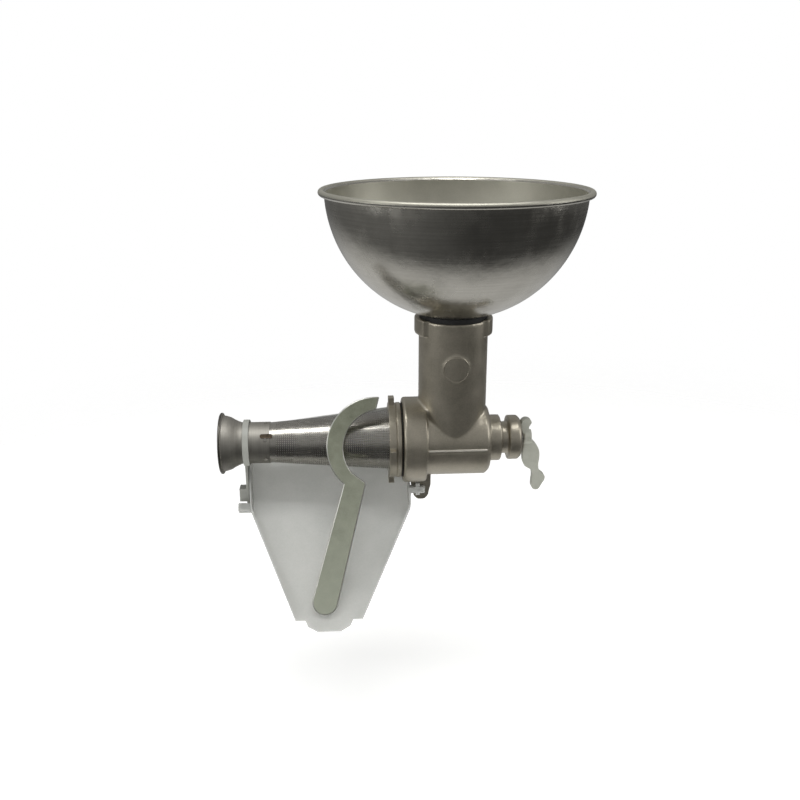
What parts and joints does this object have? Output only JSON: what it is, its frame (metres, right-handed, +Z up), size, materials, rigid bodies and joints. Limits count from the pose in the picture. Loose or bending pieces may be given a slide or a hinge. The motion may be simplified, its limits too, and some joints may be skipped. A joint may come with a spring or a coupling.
{
  "type": "food mill",
  "caption": "Power food mill with a cast head, hopper bowl, feed screw, perforated cone with outlet funnel, sloping drip tray and hook spanner.",
  "frame": {"origin": "middle of the drive hub's end collar, on the screw's axis", "axes": "+X along the screw towards the drive hub, +Z up towards the bowl, -Y the front where the tray's spout points"},
  "size_m": [0.3556, 0.2542, 0.403],
  "materials": {
    "tinned_casting": "tinned, satin",
    "spun_bowl": "spun and brushed",
    "stainless_sheet": "brushed",
    "zinc_plate": "zinc plated, satin",
    "bright_steel": "turned",
    "spring_steel": "oiled",
    "bearing_bronze": "turned",
    "milky_plastic": "milky, translucent",
    "white_strap": "satin",
    "screw_nylon": "satin",
    "pale_lever": "satin",
    "seal_rubber": "matte"
  },
  "bodies": {
    "housing": {"housing": "tinned_casting", "rear_bush": "bearing_bronze", "shaft_seal": "seal_rubber", "cone_gasket": "seal_rubber"},
    "cone": {"filter_cone": "stainless_sheet", "cone_flange": "stainless_sheet", "outlet_funnel": "stainless_sheet", "neck_rivets": "stainless_sheet"},
    "ring_nut": {"ring_nut": "tinned_casting"},
    "bowl": {"bowl": "spun_bowl", "bowl_spigot": "stainless_sheet", "seat_ring": "seal_rubber"},
    "screw": {"screw": "screw_nylon", "screw_shaft": "bright_steel", "cross_pin": "bright_steel", "thrust_washer": "bright_steel", "cup_spring": "spring_steel"},
    "wing": {"drive_wing": "pale_lever", "wing_pin": "bright_steel"},
    "tray": {"drip_tray": "milky_plastic", "tray_strap": "white_strap"},
    "spanner": {"ring_spanner": "zinc_plate"}
  },
  "joints": [
    {"name": "screw_spin", "type": "hinge", "parent": "housing", "child": "screw", "pos_m": [0, 0, 0], "axis": [1, 0, 0], "continuous": true},
    {"name": "wing_pull", "type": "slide", "parent": "screw", "child": "wing", "axis": [1, 0, 0], "range_m": [0, 0.06]},
    {"name": "cone_draw", "type": "slide", "parent": "housing", "child": "cone", "axis": [-1, 0, 0], "range_m": [0, 0.009]},
    {"name": "nut_turn", "type": "hinge", "parent": "cone", "child": "ring_nut", "pos_m": [0, 0, 0], "axis": [-1, 0, 0], "range_deg": [0, 1080]},
    {"name": "bowl_lift", "type": "slide", "parent": "housing", "child": "bowl", "axis": [0, 0, 1], "range_m": [0, 0.1]},
    {"name": "tray_swing", "type": "hinge", "parent": "housing", "child": "tray", "pos_m": [0, 0, 0], "axis": [-1, 0, 0], "range_deg": [0, 30]},
    {"name": "spanner_lift", "type": "slide", "parent": "tray", "child": "spanner", "axis": [0, -0.9415, 0.3371], "range_m": [0, 0.12]}
  ],
  "couplings": [
    {"joint": "cone_draw", "follows": "nut_turn", "m_per_rad": 0.00047746}
  ]
}
